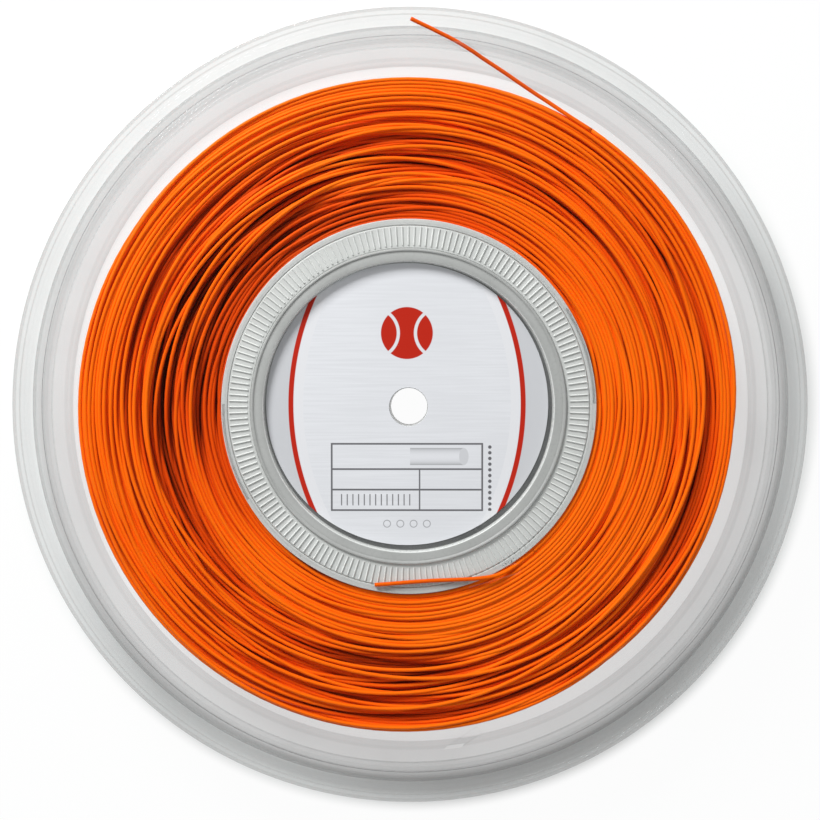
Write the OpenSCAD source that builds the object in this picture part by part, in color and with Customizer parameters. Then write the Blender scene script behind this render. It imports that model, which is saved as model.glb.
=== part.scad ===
// String reel: two clear flanges on a hub barrel, with ribbed hub rings, label cups, a label and the wound string.
// The reel lies on its rear flange, whose face is z = 0, and its axis is +Z.
// Both ends are the same mouldings. Each is drawn outwards from the middle plane of the reel, and the
// rear one is turned over about X.

/* [Flanges] */
// Diameter over the edge beads
flange_d = 250; // [240:1:270]
// Overall width over the two flange faces
overall_w = 26; // [24:0.5:34]
// Wall of the flange disc
flange_t = 2; // [1.4:0.1:2.4]
// Radial width outside the shoulder: the rim band with its bead
rim_w = 10.5; // [8:0.5:13]
// Depth of the step from the disc's face to the rim band
rim_step = 3; // [2.6:0.1:3.4]
// Wall of the rim band
rim_t = 1.8; // [1.2:0.1:2.2]
// How far the rim band falls from the shoulder to the bead
rim_fall = 0.4; // [0.2:0.1:0.6]
// Draft of the shoulder, as the radius that it gains over its height
shoulder_draft = 0.9; // [0.4:0.1:1.6]
// Radial width of the edge bead
bead_w = 2.2; // [1.6:0.1:3]
// How far the bead stands over the rim band
bead_rise = 1.6; // [1:0.1:2]
// Rounding of the shoulder and of the bead
edge_round = 0.9; // [0.4:0.1:1]

/* [String locks] */
// Width of the slot through the shoulder that holds the outer string end
lock_w = 2.6; // [2:0.1:3.4]
// Height of that slot
lock_h = 1.6; // [1.5:0.1:2]
// Length of that slot, along the string
lock_l = 20; // [17:0.5:22]
// Width of the notch at the hub that the inner string end comes out of
notch_w = 3.2; // [2.8:0.1:3.6]
// Length of that notch, along the string
notch_l = 15.5; // [13:0.5:18]

/* [Hub barrel] */
// Outer diameter of the barrel that the string is wound on
barrel_d = 118; // [116:0.5:121]
// Wall of the barrel
barrel_t = 2; // [1.8:0.1:2.4]
// How much of the barrel's end the flange covers
flange_seat = 1.4; // [1:0.1:1.7]
// How far the ledges stand in from the barrel's wall
ledge_w = 1.6; // [1.2:0.1:2.2]
// Height of each ledge
ledge_t = 1.4; // [1:0.1:2]

/* [Hub rings] */
// Radial width of a hub ring
ring_w = 7.1; // [6.5:0.1:9]
// How far the ring's plate lies under the flange's face
ring_drop = 2; // [1.8:0.1:2.4]
// Wall of the ring's plate
ring_t = 1.6; // [1.2:0.1:2]
// Depth of the ring's outer skirt under its plate
skirt_h = 2.4; // [1.8:0.1:3]
// Wall of the skirt
skirt_t = 1.4; // [1:0.1:1.8]
// Ribs around the ring
rib_count = 180; // [120:1:200]
// Width of a rib
rib_w = 0.7; // [0.5:0.05:0.9]
// Height of a rib over the plate
rib_h = 0.55; // [0.3:0.05:0.6]
// Plain margin between the ribs and the ring's outer edge
rib_margin = 0.5; // [0.3:0.1:1]
// Plain margin between the ribs and the ring's inner edge
rib_inset = 0.9; // [0.5:0.1:1.5]

/* [Label cups] */
// Radial width of the cup's collar, from the recess to the parting line with the hub ring
collar_w = 4.1; // [3.6:0.1:5]
// Depth of the label's floor under the flange's face
recess_depth = 4.4; // [3.6:0.1:5]
// How far the cup's flat collar lies under the flange's face
collar_drop = 1.4; // [1.2:0.1:2]
// Wall of the cup
cup_t = 1.4; // [1:0.1:1.6]
// Width of the raised ridge around the collar
ridge_w = 0.8; // [0.5:0.1:1.2]
// Height of that ridge
ridge_h = 0.4; // [0.2:0.1:0.8]
// Diameter of the bore that the reel turns on
bore_d = 12; // [10:0.5:16]
// Wall of the bore tube
bore_wall = 2; // [1.2:0.1:3]
// Stiffening ribs under the label's floor
spoke_count = 8; // [6:1:12]
// Wall of a stiffening rib
spoke_t = 1.2; // [0.8:0.1:1.6]
// Depth of a stiffening rib
spoke_h = 3; // [2:0.5:5]

/* [Label] */
// Gap between the label's edge and the wall of its recess
label_gap = 0.8; // [0.4:0.1:2]
// Thickness of the label
label_t = 0.3; // [0.2:0.05:0.5]
// Plain margin around the bore where the label is cut out
label_hole_gap = 0.4; // [0.2:0.1:2]

/* [String] */
// Diameter of the string
string_d = 1.25; // [1.1:0.05:1.35]
// Free depth left between the wound string and the flange's shoulder
coil_clear = 9.6; // [7:0.2:20]
// Air between the wound string and each flange
side_gap = 0.8; // [0.5:0.1:1.4]
// Turns drawn across the front of the winding
face_loops = 16; // [10:1:16]
// Turns drawn around the outside of the winding, the last of them shortened to meet the outer end
side_loops = 6; // [4:1:6]

/* [Hidden] */

$fn = 128;
// Clearance between two pieces that are pressed together
fit = 0.1;
// Overlap that joins the solids of one piece, or carries a cut past a face
eps = 0.5;

half_w = overall_w / 2;
flange_r = flange_d / 2;
barrel_r = barrel_d / 2;
barrel_bore_r = barrel_r - barrel_t;
barrel_half = half_w - flange_t;
flange_hole_r = barrel_r - flange_seat;
shoulder_r = flange_r - rim_w;
band_z = half_w - rim_step;
shoulder_foot_r = shoulder_r + shoulder_draft;

ring_r = barrel_bore_r - fit;
ring_z = half_w - ring_drop;
ring_foot_z = ring_z - ring_t - skirt_h;
cup_r = ring_r - ring_w - fit;
collar_z = half_w - collar_drop;
floor_z = half_w - recess_depth;
cup_foot_z = floor_z - cup_t;
recess_r = cup_r - collar_w;
bore_r = bore_d / 2;

string_r = string_d / 2;
loop_rings = 24;
loop_sides = 6;
end_sides = 8;
// A loop's chords pass this much closer to the axis than its rings
chord = cos(180 / loop_rings);
layer_gap = 0.45;
face_z = barrel_half - side_gap - string_r;
outer_r = shoulder_r - coil_clear - string_r;
under_r = outer_r - string_d - layer_gap;
inner_r = (barrel_r + fit + string_r) / chord;
core_half = face_z - string_r - fit / 2;
core_r = under_r * chord - string_r - fit / 2;
// Angles where the winding takes over from the inner end and where the outer end leaves it
start_angle = -48;
tail_angle = 56;
// The string crosses to the rear in one turn under the outer layer, and climbs into that layer in a quarter
cross_loops = 1;
climb_loops = 0.25;
back_from = face_loops + cross_loops + climb_loops;
total_loops = face_loops + cross_loops + side_loops + (tail_angle - start_angle) / 360 - 1;

// The lock slot goes through the foot of the shoulder, and its angle is the way the string runs through it
lock_at = (shoulder_foot_r - 0.2) * [cos(82.5), sin(82.5)];
lock_angle = 146.8;
// The hub notch ends blind over the winding's first turn, and its angle is the way the string runs out of it
notch_at = (barrel_r + notch_w / 2 + 0.2) * [cos(-56.6), sin(-56.6)];
notch_angle = 196.3;

// Route of the outer string end, after the winding's last ring: under the disc, out of the slot, over the band
tail_route = [
    [52.5, 89.7, 22.6], [48.5, 92.3, 22.7], [44.3, 95.1, 22.8], [40.1, 97.8, 22.9], [35.9, 100.6, 23],
    [31.8, 103.4, 23.1], [27.6, 106.2, 23.2], [23.4, 108.9, 23.33], [20.2, 111, 23.7],
    [17.5, 112.7, 23.74], [15, 114.2, 23.74], [12.4, 115.6, 23.72], [9.6, 117, 23.66],
    [6.7, 118.5, 23.58], [3.8, 119.9, 23.5], [0.8, 121.4, 23.42]
];
// Route of the inner string end, after the winding's first ring: out of the notch and across the ribbed ring
start_route = [
    [37.1, -47.5, 22.6], [35.4, -48.8, 22.85], [33.7, -50, 23.2], [31.9, -51.1, 23.7], [30.1, -52, 24.25],
    [27.9, -52.8, 24.75], [25.6, -53.3, 25.05], [23.3, -53.6, 25.2], [21, -53.85, 25.22], [18, -54.05, 25.22],
    [14.5, -54.2, 25.22], [11, -54.35, 25.22], [7.4, -54.5, 25.22], [3.8, -54.75, 25.22], [0.2, -55, 25.22],
    [-3.4, -55.3, 25.22], [-7, -55.6, 25.22], [-10.6, -55.85, 25.22]
];

// Points of an arc, for the rounded corners of a turned outline
function arc(centre, radius, from, to, steps = 5) =
    [for (i = [0 : steps]) centre + radius * [cos(from + (to - from) * i / steps), sin(from + (to - from) * i / steps)]];

function unit(v) = v / norm(v);
function last(list) = list[len(list) - 1];

// Slides from 0 to 1 with level ends, as x goes from a to b
function ease(x, a, b) = let (t = min(1, max(0, (x - a) / (b - a)))) t * t * (3 - 2 * t);

// The winding's middle line, u turns from its inner end: out over the front, across, and back round the outside
function wind_r(u) =
    u < face_loops ? inner_r + (under_r - inner_r) * u / face_loops
    : under_r + (outer_r - under_r) * ease(u, face_loops + cross_loops, back_from);
function wind_z(u) =
    u < back_from ? face_z - 2 * face_z * ease(u, face_loops, face_loops + cross_loops)
    : -face_z + 2 * face_z * (u - back_from) / (total_loops - back_from);
function wind_point(u) =
    let (a = start_angle + 360 * u, r = wind_r(u))
    [r * cos(a), r * sin(a), half_w + wind_z(u)];
wind_steps = ceil(total_loops * loop_rings);
wind_rings = [for (i = [0 : wind_steps]) wind_point(total_loops * i / wind_steps)];
// Each end runs straight for one string diameter
wind_route = concat(
    [wind_rings[0] + string_d * unit(wind_rings[0] - wind_rings[1])],
    wind_rings,
    [last(wind_rings) + string_d * unit(last(wind_rings) - wind_rings[wind_steps - 1])]
);

// Least distance from ring i to any ring at least half a turn further on, less the string's diameter
function gap_from(i) = min([for (j = [i + loop_rings / 2 : wind_steps]) norm(wind_rings[i] - wind_rings[j])]);
least_gap = min([for (i = [0 : wind_steps - loop_rings]) gap_from(i)]) - string_d;
echo(least_gap = least_gap, loops = total_loops);  // string_winding

// Direction of a route at its ring i
function heading(route, i) = unit(route[min(i + 1, len(route) - 1)] - route[max(i - 1, 0)]);
// One ring of the tube: its sides stand around the route, squared to it
function ring_points(route, i, sides) =
    let (along = heading(route, i), across = unit(cross([0, 0, 1], along)), up = cross(along, across))
    [for (k = [0 : sides - 1]) let (a = 360 * (k + 0.5) / sides)
        route[i] + string_r * (cos(a) * across + sin(a) * up)];

// A tube of the string's diameter along a route, with flat ends
module string_tube(route, sides) {
    count = len(route);
    points = [for (i = [0 : count - 1]) each ring_points(route, i, sides)];
    walls = [for (i = [0 : count - 2], k = [0 : sides - 1])
        let (a = i * sides + k, b = i * sides + (k + 1) % sides)
        each [[a, a + sides, b + sides], [a, b + sides, b]]];
    first_cap = [for (k = [1 : sides - 2]) [0, k, k + 1]];
    last_cap = [for (k = [1 : sides - 2]) let (o = (count - 1) * sides) [o, o + k + 1, o + k]];
    polyhedron(points, concat(walls, first_cap, last_cap));
}

// Places a piece that is drawn outwards from the middle plane, at the front or at the rear
module at_front() { translate([0, 0, half_w]) children(); }
module at_rear() { translate([0, 0, half_w]) rotate([180, 0, 0]) children(); }

// Turned outline of a flange: disc, shoulder, rim band and edge bead
module flange_outline() {
    band_end_r = flange_r - bead_w;
    band_end_z = band_z - rim_fall;
    bead_top_z = band_end_z + bead_rise;
    bead_foot_z = band_end_z - rim_t - edge_round / 2;
    bead_round = min(edge_round, bead_w / 2 - fit);
    polygon(concat(
        [[flange_hole_r, half_w - flange_t], [flange_hole_r, half_w]],
        arc([shoulder_r - edge_round, half_w - edge_round], edge_round, 90, 10),
        [[shoulder_foot_r, band_z], [band_end_r, band_end_z]],
        arc([band_end_r + bead_round, bead_top_z - bead_round], bead_round, 180, 90),
        arc([flange_r - bead_round, bead_top_z - bead_round], bead_round, 90, 0),
        arc([flange_r - bead_round, bead_foot_z + bead_round], bead_round, 0, -90),
        [[band_end_r, bead_foot_z], [band_end_r - edge_round, band_end_z - rim_t]],
        [[shoulder_foot_r - flange_t + edge_round, band_z - rim_t]],
        [[shoulder_foot_r - flange_t, band_z - rim_t + edge_round / 2]],
        [[shoulder_r - flange_t - edge_round / 2, half_w - flange_t]]
    ));
}

module flange() {
    color([0.84, 0.87, 0.88, 0.5])
    difference() {
        rotate_extrude() flange_outline();
        // Lock slot, lying on the rim band
        translate([lock_at[0], lock_at[1], band_z + fit / 2]) rotate([0, 0, lock_angle])
            translate([-lock_l / 2, -lock_w / 2, 0]) cube([lock_l, lock_w, lock_h]);
        // Hub notch, open to the flange's hole and round at its blind end
        translate([notch_at[0], notch_at[1], barrel_half - eps]) rotate([0, 0, notch_angle]) {
            translate([0, -notch_w / 2, 0]) cube([notch_l, notch_w, flange_t + 2 * eps]);
            cylinder(d = notch_w, h = flange_t + 2 * eps);
        }
    }
}

// The tube that the string is wound on, with a ledge inside each end that carries a hub ring
module hub_barrel() {
    ledge_r = barrel_bore_r - ledge_w;
    color([0.80, 0.84, 0.86, 0.5])
    translate([0, 0, half_w])
    rotate_extrude() polygon([
        [barrel_r, -barrel_half], [barrel_r, barrel_half], [barrel_bore_r, barrel_half],
        [barrel_bore_r, ring_foot_z], [ledge_r, ring_foot_z], [ledge_r, ring_foot_z - ledge_t],
        [barrel_bore_r, ring_foot_z - ledge_t - ledge_w], [barrel_bore_r, ledge_t + ledge_w - ring_foot_z],
        [ledge_r, ledge_t - ring_foot_z], [ledge_r, -ring_foot_z], [barrel_bore_r, -ring_foot_z],
        [barrel_bore_r, -barrel_half]
    ]);
}

// Annular plate with fine radial ribs, a skirt that stands on the barrel's ledge and a shelf for the cup
module hub_ring() {
    shelf_r = cup_r - cup_t;
    inner = cup_r + fit;
    shelf_z = floor_z;
    rib_l = ring_w - rib_margin - rib_inset;
    color([0.78, 0.81, 0.82, 0.6])
    union() {
        rotate_extrude() polygon([
            [ring_r, ring_foot_z], [ring_r, ring_z], [inner, ring_z], [inner, shelf_z], [shelf_r, shelf_z],
            [shelf_r, shelf_z - cup_t], [inner + cup_t, shelf_z - cup_t], [inner + cup_t, ring_z - ring_t],
            [ring_r - skirt_t, ring_z - ring_t], [ring_r - skirt_t, ring_foot_z]
        ]);
        for (i = [0 : rib_count - 1]) rotate([0, 0, 360 * i / rib_count])
            translate([cup_r + fit + rib_inset, -rib_w / 2, ring_z - eps]) cube([rib_l, rib_w, rib_h + eps]);
    }
}

// Turned outline of a label cup: bore tube, floor, recess wall, flat collar with its ridge, outer wall
module cup_outline() {
    wall_r = recess_r + cup_t;
    ridge_r = cup_r - ridge_w;
    polygon([
        [bore_r, 0], [bore_r, floor_z], [recess_r, floor_z], [recess_r, collar_z],
        [ridge_r - ridge_h, collar_z], [ridge_r, collar_z + ridge_h], [cup_r - ridge_h, collar_z + ridge_h],
        [cup_r, collar_z], [cup_r, floor_z], [cup_r - cup_t, floor_z], [cup_r - cup_t, collar_z - cup_t],
        [wall_r, collar_z - cup_t], [wall_r, cup_foot_z], [bore_r + bore_wall, cup_foot_z],
        [bore_r + bore_wall, 0]
    ]);
}

module label_cup() {
    spoke_from = bore_r + bore_wall - fit;
    color([0.80, 0.83, 0.84, 0.6])
    union() {
        rotate_extrude() cup_outline();
        for (i = [0 : spoke_count - 1]) rotate([0, 0, 360 * (i + 0.5) / spoke_count])
            translate([spoke_from, -spoke_t / 2, cup_foot_z - spoke_h])
                cube([recess_r - spoke_from, spoke_t, spoke_h + fit]);
    }
}

// Printed disc that lies on the cup's floor
module label() {
    color([0.80, 0.80, 0.81])
    translate([0, 0, floor_z]) difference() {
        cylinder(r = recess_r - label_gap, h = label_t);
        translate([0, 0, -eps]) cylinder(r = bore_r + label_hole_gap, h = label_t + 2 * eps);
    }
}

module front_flange() { at_front() flange(); }
module rear_flange() { at_rear() flange(); }
module front_hub_ring() { at_front() hub_ring(); }
module rear_hub_ring() { at_rear() hub_ring(); }
module front_label_cup() { at_front() label_cup(); }
module rear_label_cup() { at_rear() label_cup(); }
module front_label() { at_front() label(); }

// The body of the winding, under the turns that show
module string_core() {
    color([0.85, 0.30, 0.03])
    translate([0, 0, half_w - core_half]) difference() {
        cylinder(r = core_r, h = 2 * core_half);
        translate([0, 0, -eps]) cylinder(r = barrel_r + fit, h = 2 * core_half + 2 * eps);
    }
}

// The turns that show, as one unbroken string
module string_winding() {
    color([1.00, 0.42, 0.05]) string_tube(wind_route, loop_sides);
}

// Outer end of the string, locked in the front flange's slot
module string_tail() {
    color([0.93, 0.36, 0.06]) string_tube(concat([last(wind_route)], tail_route), end_sides);
}

// Inner end of the string, across the front hub ring
module string_start() {
    color([1.00, 0.42, 0.05]) string_tube(concat([wind_route[0]], start_route), end_sides);
}

front_flange();
rear_flange();
hub_barrel();
front_hub_ring();
rear_hub_ring();
front_label_cup();
rear_label_cup();
front_label();
string_core();
string_winding();
string_tail();
string_start();
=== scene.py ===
"""Looks of the string reel: clear mouldings, 200 m of wound string, its ends, the label and a white studio.

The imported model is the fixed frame. Lengths are millimetres in the outlines and where a name ends in _MM or
_mm, and metres in meshes and shaders. The reel lies on z = 0 with its axis along +Z. The mouldings are drawn
from its middle plane, because both ends are the same, turned over.
"""

import math

import bpy
import numpy as np
from mathutils import Matrix, Vector


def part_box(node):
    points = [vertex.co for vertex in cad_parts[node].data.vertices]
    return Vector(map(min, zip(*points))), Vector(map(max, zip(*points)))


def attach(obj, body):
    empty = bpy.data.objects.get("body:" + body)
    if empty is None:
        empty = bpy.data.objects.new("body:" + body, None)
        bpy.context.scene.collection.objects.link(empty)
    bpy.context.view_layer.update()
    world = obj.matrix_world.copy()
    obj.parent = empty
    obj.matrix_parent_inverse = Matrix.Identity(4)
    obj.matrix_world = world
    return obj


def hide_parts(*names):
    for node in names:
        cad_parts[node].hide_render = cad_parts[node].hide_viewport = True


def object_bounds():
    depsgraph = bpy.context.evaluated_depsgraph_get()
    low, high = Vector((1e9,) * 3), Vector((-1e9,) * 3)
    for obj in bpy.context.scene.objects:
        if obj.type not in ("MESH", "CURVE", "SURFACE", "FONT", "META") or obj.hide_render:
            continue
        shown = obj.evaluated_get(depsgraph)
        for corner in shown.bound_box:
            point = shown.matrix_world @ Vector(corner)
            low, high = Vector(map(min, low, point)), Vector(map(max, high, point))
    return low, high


bl_info = {
    "name": "String Reel",
    "version": (1, 0, 0),
    "blender": (4, 5, 0),
    "location": "View3D > Sidebar > Reel",
    "description": "Dresses a clear string reel with its wound string, label and studio",
    "category": "Object",
}

MM = 0.001
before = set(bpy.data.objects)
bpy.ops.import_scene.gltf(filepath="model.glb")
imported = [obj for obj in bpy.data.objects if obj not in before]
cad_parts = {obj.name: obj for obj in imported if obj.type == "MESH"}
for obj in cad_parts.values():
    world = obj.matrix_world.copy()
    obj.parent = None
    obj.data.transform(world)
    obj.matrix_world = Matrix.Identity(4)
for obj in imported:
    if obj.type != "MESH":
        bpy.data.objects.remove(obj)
CAD_BOX = [list(corner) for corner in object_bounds()]

# Sizes read from the frame
FLANGE_R_MM, WIDTH_MM = (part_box("front_flange")[1][axis] / MM for axis in (0, 2))
BARREL_R_MM, INNER_FACE_MM = (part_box("hub_barrel")[1][axis] / MM for axis in (0, 2))
LABEL_LOW_MM, LABEL_HIGH_MM = (corner[2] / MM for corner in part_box("front_label"))
MIDDLE_MM = WIDTH_MM / 2

# Heights of the mouldings' steps above the middle plane. Rounding drops the frame's single precision
TOP = round(MIDDLE_MM, 3)
SIDE = round(INNER_FACE_MM - MIDDLE_MM, 3)
BAND = TOP - 3
COLLAR = TOP - 1.4
RECESS = TOP - 4.4
CUP_BACK = RECESS - 1.4
LEDGE = SIDE - 4

# Their radii, from the rim inwards
BEAD_R = FLANGE_R_MM - 2.2
SHOULDER_R = FLANGE_R_MM - 10.5
WALL_R = round(BARREL_R_MM, 3)
HOLE_R = WALL_R - 1.4
TUBE_R = WALL_R - 2
LEDGE_R = TUBE_R - 1.6
RING_R = TUBE_R - 0.1
SEAT_R = RING_R - 7.1
CUP_R = SEAT_R - 0.1
STEP_R = SEAT_R - 1.5
RECESS_R = CUP_R - 4.1
BORE_R = 6

# Outlines as (radius, height, rounding of the corner)
FLANGE_OUTLINE = [
    (HOLE_R, SIDE, 0.2), (HOLE_R, TOP, 0.35), (SHOULDER_R, TOP, 1.2),
    (SHOULDER_R + 0.9, BAND, 0.5), (BEAD_R, BAND - 0.4, 0.35), (BEAD_R, BAND + 1.2, 1.0),
    (FLANGE_R_MM, BAND + 1.2, 1.0), (FLANGE_R_MM, BAND - 2.65, 0.9), (BEAD_R, BAND - 2.65, 0.3),
    (BEAD_R - 0.9, BAND - 2.2, 0.4), (SHOULDER_R - 1, BAND - 1.8, 0.8),
    (SHOULDER_R - 2.45, SIDE, 0.7),
]
BARREL_OUTLINE = [
    (WALL_R, -SIDE, 0.2), (WALL_R, SIDE, 0.3), (TUBE_R, SIDE, 0.3),
    (TUBE_R, LEDGE, 0.2), (LEDGE_R, LEDGE, 0.2), (LEDGE_R, LEDGE - 1.4, 0.3),
    (TUBE_R, LEDGE - 3, 0.3), (TUBE_R, 3 - LEDGE, 0.3), (LEDGE_R, 1.4 - LEDGE, 0.3),
    (LEDGE_R, -LEDGE, 0.2), (TUBE_R, -LEDGE, 0.2), (TUBE_R, -SIDE, 0.3),
]
RING_OUTLINE = [
    (RING_R, LEDGE, 0.2), (RING_R, SIDE, 0.45), (SEAT_R, SIDE, 0.3),
    (SEAT_R, RECESS, 0.1), (STEP_R, RECESS, 0.1), (STEP_R, CUP_BACK, 0.2),
    (SEAT_R + 1.4, CUP_BACK, 0.3), (SEAT_R + 1.4, SIDE - 1.6, 0.3),
    (RING_R - 1.4, SIDE - 1.6, 0.3), (RING_R - 1.4, LEDGE, 0.2),
]
CUP_OUTLINE = [
    (BORE_R, 0, 0), (BORE_R, RECESS, 0.15), (RECESS_R, RECESS, 0.4),
    (RECESS_R, COLLAR, 0.45), (CUP_R - 1.2, COLLAR, 0.2), (CUP_R - 0.8, COLLAR + 0.4, 0.25),
    (CUP_R - 0.4, COLLAR + 0.4, 0.2), (CUP_R, COLLAR, 0.2), (CUP_R, RECESS, 0.1),
    (STEP_R, RECESS, 0.1), (STEP_R, COLLAR - 1.4, 0.3), (RECESS_R + 1.4, COLLAR - 1.4, 0.3),
    (RECESS_R + 1.4, CUP_BACK, 0.3), (BORE_R + 2, CUP_BACK, 0.3), (BORE_R + 2, 0, 0),
]

# Route of the outer string end: along the winding, under the disc, through the lock slot, over the rim band
TAIL_ROUTE_MM = [
    (57.4, 86.6, 22.58), (52.5, 89.7, 22.6), (48.5, 92.3, 22.7), (44.3, 95.1, 22.8), (40.1, 97.8, 22.9),
    (35.9, 100.6, 23), (31.8, 103.4, 23.1), (27.6, 106.2, 23.2), (23.4, 108.9, 23.33), (20.2, 111, 23.7),
    (17.5, 112.7, 23.74), (15, 114.2, 23.74), (12.4, 115.6, 23.72), (9.6, 117, 23.66), (6.7, 118.5, 23.58),
    (3.8, 119.9, 23.5), (0.8, 121.4, 23.42),
]
# Route of the inner string end: out of the winding, up through the hub notch, across the ribbed ring
START_ROUTE_MM = [
    (39.5, -45.7, 22.58), (37.1, -47.5, 22.6), (35.4, -48.8, 22.85), (33.7, -50, 23.2), (31.9, -51.1, 23.7),
    (30.1, -52, 24.25), (27.9, -52.8, 24.75), (25.6, -53.3, 25.05), (23.3, -53.6, 25.2), (21, -53.85, 25.22),
    (18, -54.05, 25.22), (14.5, -54.2, 25.22), (11, -54.35, 25.22), (7.4, -54.5, 25.22), (3.8, -54.75, 25.22),
    (0.2, -55, 25.22), (-3.4, -55.3, 25.22), (-7, -55.6, 25.22), (-10.6, -55.85, 25.22),
]

# The slot that locks the outer end, and the notch that lets the inner end out: place in the plane and angle
LOCK_SLOT = (15.04, 114.21), 146.8
HUB_NOTCH = (33.47, -50.76), 196.3

# Where the winding meets the two ends: direction, and radius of its middle line
START_DEG, FIRST_TURN_MM = -48.0, 60.24
TAIL_DEG, LAST_TURN_MM = 56.0, 103.8
# Out-of-round of the winding's outside: how often it repeats in a turn, and its cosine and sine parts
LOBES_MM = ((1, -0.80, 0.14), (2, 0.22, 0.58), (3, -0.18, -0.20))

# Hollows and slits in the winding's faces: ranges of half length, half width and share of the full depth
HOLLOW_LENGTH_DEG, HOLLOW_WIDTH_MM, HOLLOW_DEPTH = (7, 28), (0.55, 1.3), (0.55, 1)
# How much longer and wider a hollow is than a slit, and how far each strays from the loose band
WIDE_LENGTH, WIDE_WIDTH, WIDE_STRAY, SLIT_STRAY = 1.8, 2.5, 0.17, 0.33
# Spread of their lean in mm per radian, and how far the second deep side lies from the loose side
HOLLOW_LEAN_MM, SECOND_SIDE_DEG = 4.0, 125
# Places per millimetre of radius at which the depth of a face is kept
SUNK_PLACES = 5

# Where the rim's plastic begins, and radii in metres over which the looks of plastic and string ends change
RIM_FROM_MM = 112.3
SHOULDER_SLOPE, BEAD_SLOPE = (0.098, 0.108), (0.119, 0.1205)
WORN_OUTSIDE, WORN_INSIDE = (0.1035, 0.1065), (0.0575, 0.06)
# The floor's own glow by radius: a slope in metres, and the glow below and above it
UNDER_REEL = (0.1225, 0.1275), (0.60, 0.0)
ROUND_REEL = (0.132, 0.138), (0.0, 0.93)
IN_BORE = (0.008, 0.012), (0.97, 0.0)


# ---- properties

def number(name, text, default, **limits):
    return bpy.props.FloatProperty(name=name, description=text, default=default, **limits)


def share(name, text, default):
    return number(name, text, default, subtype="FACTOR", min=0, max=1)


def count(name, text, default, low, high):
    return bpy.props.IntProperty(name=name, description=text, default=default, min=low, max=high)


def vector(name, text, default, **kind):
    size = len(default)
    return bpy.props.FloatVectorProperty(name=name, description=text, default=default, size=size, **kind)


def shade(name, text, default):
    return vector(name, text, default, subtype="COLOR")


class ReelWinding(bpy.types.PropertyGroup):
    string_mm: number("String", "Diameter of the string in millimetres", 1.25, min=1.0, max=1.4)
    turns: count("Turns", "Turns of string on the barrel", 390, 40, 400)
    layers: count("Layers", "Passes of the string between the flanges", 30, 4, 40)
    outer_mm: number("Outer radius", "Middle of the outermost turns", 103.3, min=90, max=106)
    dwell: share("Dwell", "How much longer the string stays near the flanges", 0.95)
    side_gap_mm: number("Side gap", "Air between winding and flange, in millimetres", 0.8, min=0.3, max=2)
    wander_mm: number("Wander", "How far a turn strays, in millimetres", 2.2, min=0, max=4)
    reach_deg: number("Reach", "Length of one stray, in degrees of turn", 26, min=6, max=60)
    hollows: count("Hollows", "Long wide hollows in each face", 18, 0, 100)
    slits: count("Slits", "Narrow gaps in each face", 130, 0, 200)
    sunk_mm: number("Sunk", "Depth of the deepest hollows, in millimetres", 7.5, min=0, max=9)
    loose_deg: number("Loose side", "Where the loose turns lie nearest the hub, in degrees", 150)
    dip_mm: number("Dip", "How deep the first turns lie on the loose side", 4.2, min=0, max=9)
    seed: bpy.props.IntProperty(name="Seed", description="Picks one winding of many", default=7)
    colour: shade("String colour", "Colour of the string", (0.96, 0.145, 0.003))
    # Painted shade: the colour painted on turns far inside the winding, where shade falls
    painted_shade_colour: shade("Depth colour", "Colour of the turns far inside", (0.085, 0.005, 0.0003))


class ReelPlastic(bpy.types.PropertyGroup):
    disc_cover: share("Disc cover", "How much one face of a flange's disc hides", 0.004)
    shoulder_cover: share("Shoulder cover", "The same near the shoulder", 0.008)
    # Painted shade: the rim band's cover greys it, though its wall is no thicker than the disc's; the bead's
    # cover is partly its thicker edge, partly painted shade
    rim_cover: share("Rim cover", "The same on the rim band", 0.09)
    bead_cover: share("Bead cover", "What the thick outer edge of the rim band adds", 0.05)
    clear: shade("Clear plastic", "Tint of the clear plastic", (0.20, 0.21, 0.21))
    edge: shade("Clear edges", "The same seen edge on", (0.50, 0.53, 0.52))
    frosted: shade("Frosted plastic", "Colour of the hub", (0.545, 0.56, 0.545))
    # Painted highlight: ribs and the label cup's inner wall are lighter than the ring round them, standing for
    # highlights along their edges
    rib_highlight: shade("Ribs", "Colour of the ring's fine ribs", (0.75, 0.77, 0.75))
    # Painted shade: the recess floor round the label is a dark sheet standing for the shade in the gap beside
    # the label
    recess: shade("Recess", "Colour of the floor round the label", (0.10, 0.105, 0.105))


class ReelLabel(bpy.types.PropertyGroup):
    silver: shade("Silver", "Colour of the label's middle", (0.735, 0.75, 0.78))
    white: shade("White", "Colour of the side bands", (0.755, 0.765, 0.79))
    red: shade("Red", "Colour of the stripes and the ball", (0.48, 0.018, 0.006))
    grey: shade("Rules", "Colour of the ruled lines", (0.13, 0.13, 0.14))
    radius_mm: number("Radius", "Radius of the label in millimetres", 44.6, min=40, max=44.8)
    shift_mm: vector("Shift", "How far off centre the label was stuck, in millimetres", (-0.5, 0.8))


class ReelStage(bpy.types.PropertyGroup):
    key_watts: number("Key light", "Power of the soft key light", 11.4, min=0)
    fill_watts: number("Fill light", "Power of the fill light", 0.5, min=0)
    sky: number("Sky", "Strength of the even light all round", 0.33, min=0)
    eye_mm: vector("Eye", "Place of the camera in millimetres", (4.5, 6, 377))
    aim_mm: vector("Aim", "Point that the camera looks at, in millimetres", (0.5, -0.95, 24))
    lens: number("Lens", "Focal length on a 36 mm sensor", 49.35, min=10)


# ---- meshes

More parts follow.
